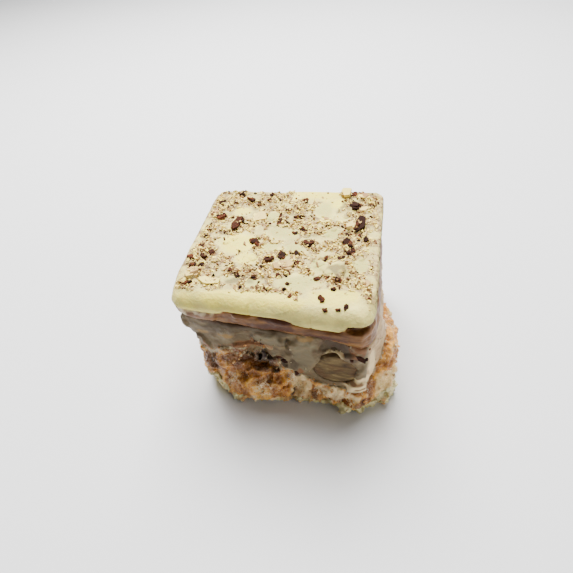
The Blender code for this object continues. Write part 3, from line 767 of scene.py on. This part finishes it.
# Honey stains, partly painted shade.
honey_stain_and_shade = nougat.laid_over(yellowed, "honey", 0.85, seen(120, 76, 40))
grit = nougat.band(nougat.cloud(0.6, detail=4, roughness=0.7), 0.5, 0.62)
grit_share = nougat.work("MULTIPLY", grit, nougat.band(nougat.painted("seam"), 0.3, 1.0))
nougat.colour(nougat.mix(grit_share, honey_stain_and_shade, seen(150, 100, 54)))
nougat.relief(nougat.cloud(0.5, detail=5), 0.08)


# Almond in the nougat
# A whole almond that was stirred into the nougat. The knife went through it, so that its flat,
# fibrous cut face stands in the front, in the scoop that it left.
SLICE_GRID = 0.12
SLICE_GROWTH = 0.2  # it swells by this too, so that it fills its scoop

slice_piece = welded_copy("almond_slice", "almond_cut_across")
even_skin(slice_piece, SLICE_GRID, 24)
shape(slice_piece, "DISPLACE", strength=SLICE_GROWTH * MM, mid_level=0)
cut_almond = Finish("cut_almond", 0.6, Specular_IOR_Level=0.25)
fibres = cut_almond.cloud(
    1.1, detail=5, roughness=0.6, distortion=0.9, place=cut_almond.drawn_out(3.2, 3.2, 1),
)
grown = cut_almond.ramp(
    fibres,
    (0.34, seen(58, 42, 21)), (0.46, seen(82, 64, 36)),
    (0.56, seen(100, 80, 46)), (0.7, seen(130, 110, 68)),
)
toasted = cut_almond.band(cut_almond.cloud(4), 0.45, 0.62, 0, 0.6)
cut_almond.colour(cut_almond.mix(toasted, grown, seen(92, 58, 30)))
cut_almond.relief(fibres, 0.4)
hand_over(slice_piece, "almond_slice", cut_almond)


# Toffee
# Butter and sugar boiled to the hard crack: it snaps into glassy crags, with painted shade in its
# hollows and crevices, and dusted with the sugar that grained on it.
BULGE_FROM = 19.5  # right of this it bulges out past the cut
# X, height, half width, half height, and how far it stands out or in.
TOFFEE_RELIEF = (
    (-2.4, 14.6, 3.2, 3.2, -1.6), (-6.6, 14.6, 2.6, 2.4, -0.6), (-3.6, 6.0, 6.0, 4.2, 0.8),
    (-14.2, 10.2, 1.0, 1.4, -1.0), (-12.0, 9.4, 1.3, 2.2, 0.6), (-15.6, 8.6, 1.4, 2.6, 0.6),
    (4.4, 6.0, 1.0, 3.4, -0.8), (13.0, 6.6, 2.6, 1.2, 0.5), (17.6, 4.6, 2.2, 1.6, 0.6),
)
# Patches of its front cut: X, height, half width, half height.
# Painted shade, in the hollows that are pressed into the front cut:
TOFFEE_HOLLOW_SHADE = (
    (-1.8, 15.0, 2.2, 3.4), (-3.4, 13.6, 1.6, 2.0), (-14.2, 10.4, 0.7, 1.2), (2.9, 3.2, 0.5, 0.7),
    (4.6, 11.8, 0.8, 1.8), (10.0, 1.4, 0.6, 0.8), (0.2, 11.4, 0.8, 1.0),
)
BROWN = (
    (-7.4, 14.8, 5.0, 3.0), (-14.6, 11.0, 2.6, 2.6), (7.8, 4.2, 0.8, 2.2), (17.8, 4.4, 1.4, 1.4),
    (-2.0, 14.4, 3.4, 3.6),
)
TAN = (
    (5.2, 6.4, 2.2, 5.4), (12.6, 6.2, 3.6, 3.0), (-15.4, 5.4, 1.6, 1.2), (0.0, 1.6, 8.0, 0.8),
)
SUGARED = (
    (-3.0, 7.4, 1.5, 1.8), (-5.4, 3.4, 0.8, 1.3), (-9.4, 8.4, 1.2, 0.9), (3.4, 9.4, 1.0, 2.0),
    (12.6, 5.4, 3.0, 1.8), (9.4, 6.4, 1.0, 1.4), (4.6, 4.2, 0.9, 1.9), (-10.8, 6.0, 0.5, 2.0),
)


def keep_places(piece):
    """Where every vertex is now, to see later how far it was moved."""
    return [vertex.co.copy() for vertex in piece.data.vertices]


def proud(piece, before, depth):
    """How far every vertex now stands out of where it was: 0 for a depth inwards, 1 for outwards."""
    values = []
    for vertex, place in zip(piece.data.vertices, before):
        values.append(min(1, max(0, 0.5 + (vertex.co - place).dot(vertex.normal) / MM / depth / 2)))
    return values


def browning(place):
    """How brown it is: in patches of the front, and in clouds on the other cuts but not on the bulge."""
    clouds = ease(0.55 + 1.2 * grain(place, 3.2, 4.0)) * (1 - ease(place.x - BULGE_FROM))
    return max(front_patch(place, BROWN, 1.8, 2.0), 0.8 * (1 - front(place)) * clouds)


def paleness(place):
    """1 low on the bulge, where the toffee is pale."""
    return ease((place.x - BULGE_FROM - 0.9) / 0.8) * ease((11.5 - place.z) / 1.6 + grain(place, 1.6))


def sugaring(place):
    """Where sugar grained on it: in patches of the front, and in clouds on the other cuts."""
    clouds = ease(3 * grain(place, 2.6, 5.0) - 0.9)
    return max(front_patch(place, SUGARED, 0.9, 3.0, 1.0), (1 - front(place)) * clouds)


toffee_piece = welded_copy("toffee_layer", "toffee")
even_skin(toffee_piece, SIDE_GRID, 3)
cut_group(toffee_piece)
sculpt(toffee_piece, lambda place, normal: press(
    place, normal, TOFFEE_RELIEF, 0.4 * grain(place, 1.6, 3.0),
))
smooth_places = keep_places(toffee_piece)
roughen(toffee_piece, "CLOUDS", 2.4, 2.6)
roughen(toffee_piece, "VORONOI", 1.3, 0.4, weight_1=-1, weight_2=1)
roughen(toffee_piece, "CLOUDS", 0.6, 0.2)
paint_values(toffee_piece, "proud", proud(toffee_piece, smooth_places, 0.8))
paint(toffee_piece, "hollow", lambda place: front_patch(place, TOFFEE_HOLLOW_SHADE, 1.4, 1.0))
paint(toffee_piece, "brown", browning)
paint(toffee_piece, "tan", lambda place: front_patch(place, TAN, 1.4, 6.0, 0.8))
paint(toffee_piece, "pale", paleness)
paint(toffee_piece, "sugared", sugaring)
paint_values(toffee_piece, "seam", near(toffee_piece, nougat_piece, 1.2))
paint_values(nougat_piece, "seam", near(nougat_piece, toffee_piece, 1.6))
hand_over(nougat_piece, "nougat_layer", nougat)

toffee = Finish(
    "toffee", 0.35, Specular_IOR_Level=0.35, Subsurface_Weight=0.08, Subsurface_Scale=0.6 * MM,
)
amber = toffee.ramp(
    toffee.cloud(2.4, detail=5, roughness=0.65),
    (0.32, seen(138, 80, 28)), (0.45, seen(186, 122, 46)),
    (0.56, seen(232, 166, 62)), (0.74, seen(246, 204, 110)),
)
# Painted shade: darker in the crevices, where the crags sink in.
crevice_shade = toffee.mix(toffee.band(toffee.painted("proud"), 0.25, 0.5, 0.6, 0), amber, seen(134, 74, 32))
tanned = toffee.laid_over(crevice_shade, "tan", 0.85, seen(248, 220, 162))
browned = toffee.laid_over(tanned, "brown", 0.85, seen(96, 54, 24))
# Painted shade, nearly black, in the hollows.
dark = toffee.laid_over(browned, "hollow", 0.92, seen(46, 23, 12))
paled = toffee.laid_over(dark, "pale", 0.9, seen(230, 196, 126))
frost = toffee.band(toffee.cloud(0.5, detail=4, roughness=0.7), 0.44, 0.58)
frosted = toffee.work("MULTIPLY", frost, toffee.band(toffee.painted("sugared"), 0, 1, 0.1, 1.0))
sugared = toffee.mix(frosted, paled, seen(252, 232, 190))
creamy = toffee.band(toffee.work("ADD", toffee.painted("seam"), toffee.cloud(0.8, detail=4)), 1.05, 1.25)
toffee.colour(toffee.mix(creamy, sugared, seen(176, 156, 120)))
toffee.gloss(toffee.band(frosted, 0, 1, 0.25, 0.6))
toffee.relief(toffee.cloud(0.4, detail=5, roughness=0.65), 0.2)
hand_over(toffee_piece, "toffee_layer", toffee)


# White chocolate base
# The same white chocolate, brushed thinly under the slab and set flat on its tray. It broke ragged
# where the knife came through, and toffee crumbs stained it.
# Where it stayed clean, seen from above: X, Y, half width, half depth.
CLEAN = ((-15.5, -16.5, 2.6, 3.0), (15.5, -17.5, 6.5, 4.0), (23.5, -12.0, 3.0, 4.0))

base_piece = welded_copy("white_chocolate_base", "white_chocolate_foot")
even_skin(base_piece, SIDE_GRID, 3)
cut_group(base_piece)
roughen(base_piece, "CLOUDS", 2.0, 3.2)
roughen(base_piece, "VORONOI", 1.2, 0.9, weight_1=-1, weight_2=1)
roughen(base_piece, "CLOUDS", 0.6, 0.6)
# It set flat: what is below the tray now comes back up to it.
sculpt(base_piece, lambda place, normal: Vector((0, 0, max(0, -place.z))))
paint(base_piece, "stained", lambda place: ease(0.75 + 1.6 * grain(place, 2.6, 7.0) - 1.2 * patch(
    place.x, place.y, CLEAN, 0.5 * grain(place, 1.8),
)))

foot = Finish("white_chocolate_foot", 0.5, Subsurface_Weight=0.1, Subsurface_Scale=0.5 * MM)
broken = foot.ramp(
    foot.cloud(1.2, detail=5, roughness=0.65),
    (0.3, seen(190, 176, 126)), (0.5, seen(230, 218, 160)), (0.7, seen(250, 242, 188)),
)
stain = foot.ramp(
    foot.cloud(0.7, detail=4, roughness=0.7),
    (0.35, seen(150, 100, 52)), (0.5, seen(222, 168, 96)), (0.66, seen(236, 208, 152)),
)
foot.colour(foot.mix(foot.band(foot.painted("stained"), 0, 1, 0.05, 0.9), broken, stain))
foot.relief(foot.cloud(0.4, detail=5), 0.2)
hand_over(base_piece, "white_chocolate_base", foot)


# Grained sugar
# Sugar that crystallised out of the toffee as it was cut: pale grains, which cling in patches to
# its cut faces and lie thinly elsewhere on them.
# How many grains, and the half sizes of the smallest and the largest.
SUGAR_ON_PATCHES = (1800, (0.07, 0.24))
SUGAR_ANYWHERE = (350, (0.07, 0.18))
CRUMBS_FROM = 16.5 * MM  # crumbs lie further than this from the middle


def outward_spots(piece, crumbs, wanted, draw):
    """Spots for crumbs on a piece's cut faces, where a function of the vertex says so."""
    count, (smallest, largest) = crumbs
    found = [vertex for vertex in piece.data.vertices if vertex.normal.z > -0.7 and wanted(vertex)]
    spots = []
    for vertex in draw.sample(found, min(count, len(found))):
        reach = smallest + (largest - smallest) * draw.random() ** 2
        stretch = Vector((reach * draw.uniform(0.8, 1.6), reach, reach * draw.uniform(0.6, 1)))
        turn, kind = any_turn(draw), draw.randrange(BIT_KINDS)
        spots.append((vertex.co / MM, turn, stretch, kind, 0.0, draw.random()))
    return spots


def painted_at(piece, name):
    """A painted value at a vertex of a piece, as a function of the vertex."""
    layer = piece.data.attributes[name].data
    return lambda vertex: layer[vertex.index].value


def on_cut(vertex):
    """Whether a vertex is on a cut face, and not on a hidden seam."""
    return max(abs(vertex.co.x), abs(vertex.co.y)) > CRUMBS_FROM


sugar_at = painted_at(toffee_piece, "sugared")
sugar_spots = outward_spots(
    toffee_piece, SUGAR_ON_PATCHES, lambda vertex: on_cut(vertex) and sugar_at(vertex) > 0.35, shake,
) + outward_spots(toffee_piece, SUGAR_ANYWHERE, on_cut, shake)
sugar_piece = strew("grained_sugar", crumb_kinds, sugar_spots)
sugar = Finish("grained_sugar", 0.35, Transmission_Weight=0.2)
sugar.colour(sugar.ramp(
    sugar.painted("tint"),
    (0.0, seen(236, 216, 172)), (0.6, seen(222, 190, 136)), (1.0, seen(210, 154, 88)),
))
hand_over(sugar_piece, None, sugar, smooth=False)


# Toffee crumbs
# Splinters of the brittle toffee, from amber to brown. The knife broke them off, and they stuck to
# the toffee itself and to the tacky lower edge of the nougat.
# How many, and the half sizes of the smallest and the largest.
TOFFEE_ON_NOUGAT = (130, (0.12, 0.45))
TOFFEE_ON_TOFFEE = (320, (0.12, 0.5))

nougat_seam_at = painted_at(nougat_piece, "seam")
toffee_spots = outward_spots(
    nougat_piece, TOFFEE_ON_NOUGAT, lambda vertex: on_cut(vertex) and nougat_seam_at(vertex) > 0.45, shake,
) + outward_spots(toffee_piece, TOFFEE_ON_TOFFEE, on_cut, shake)
toffee_crumbs = strew("toffee_crumbs", crumb_kinds, toffee_spots)
chips = Finish("toffee_crumbs", 0.3)
chips.colour(chips.ramp(
    chips.painted("tint"),
    (0.0, seen(124, 76, 42)), (0.4, seen(190, 134, 74)),
    (0.75, seen(232, 166, 92)), (1.0, seen(220, 190, 138)),
))
hand_over(toffee_crumbs, None, chips, smooth=False)


# Nougat crumbs
# Bits of the nougat that the knife tore off. Most of them stuck to the toffee just below the seam,
# the others to the nougat's own cuts.
# How many, and the half sizes of the smallest and the largest.
NOUGAT_ON_TOFFEE = (300, (0.12, 0.5))
NOUGAT_ON_NOUGAT = (160, (0.1, 0.3))

toffee_seam_at = painted_at(toffee_piece, "seam")
nougat_spots = outward_spots(
    toffee_piece, NOUGAT_ON_TOFFEE, lambda vertex: on_cut(vertex) and toffee_seam_at(vertex) > 0.3, shake,
) + outward_spots(nougat_piece, NOUGAT_ON_NOUGAT, on_cut, shake)
nougat_crumbs = strew("nougat_crumbs", crumb_kinds, nougat_spots)
soft = Finish("nougat_crumbs", 0.55)
soft.colour(soft.ramp(
    soft.painted("tint"),
    (0.0, seen(190, 176, 138)), (0.7, seen(164, 146, 112)), (1.0, seen(132, 112, 84)),
))
hand_over(nougat_crumbs, None, soft, smooth=False)


# White chocolate flakes
# Flakes of the thin chocolate base, which broke ragged under the knife and still hang along the
# foot.
# How many, and the half sizes of the smallest and the largest.
FLAKES_ON_FOOT = (520, (0.2, 0.75))


def off_the_tray(vertex):
    """Whether a vertex of the foot is on a cut face, clear of the tray and not under an edge."""
    return on_cut(vertex) and vertex.normal.z > -0.2 and vertex.co.z > 0.6 * MM


flake_spots = outward_spots(base_piece, FLAKES_ON_FOOT, off_the_tray, shake)
flakes = strew("white_chocolate_flakes", crumb_kinds, flake_spots)
flake = Finish("white_chocolate_flakes", 0.5)
flake.colour(flake.ramp(
    flake.painted("tint"),
    (0.0, seen(240, 230, 170)), (0.7, seen(222, 212, 156)), (1.0, seen(196, 186, 138)),
))
hand_over(flakes, None, flake, smooth=False)


# Almond skins in the nougat
# Loose bits of the almonds' brown skin that were stirred into the nougat. They show in its front,
# where the knife passed.
# X, height, length, width, turn in degrees.
SKINS = (
    (1.2, 15.9, 1.9, 0.8, 18), (2.2, 15.0, 1.0, 0.6, 0), (4.5, 12.0, 0.7, 1.6, 8),
    (3.1, 11.9, 0.6, 0.4, -30), (17.4, 19.4, 1.8, 0.7, 35), (18.4, 18.4, 0.7, 0.5, 60),
    (-3.7, 19.2, 0.7, 0.5, 0), (19.0, 21.0, 0.3, 0.3, 0), (-2.2, 18.9, 0.8, 0.4, -10),
    (15.8, 18.9, 0.6, 0.5, 0),
)
SKIN_THICKNESS = 0.5
IN_FRONT = -40  # from here every skin is moved back onto the nougat

skin_spots = []
for x, height, length, width, turn in SKINS:
    start = Vector((x, IN_FRONT, height)) * MM
    hit, where, _, _ = nougat_piece.ray_cast(start, Vector((0, 1, 0)))
    if hit:
        lie = Quaternion((0, 1, 0), math.radians(turn)) @ Quaternion((1, 0, 0), math.pi / 2)
        size = Vector((length, width, SKIN_THICKNESS))
        skin_spots.append((where / MM, lie, size, shake.randrange(BIT_KINDS), 1.0, shake.random()))
skins = strew("almond_skins", chunk_kinds, skin_spots)
hand_over(skins, None, almond, smooth=False)
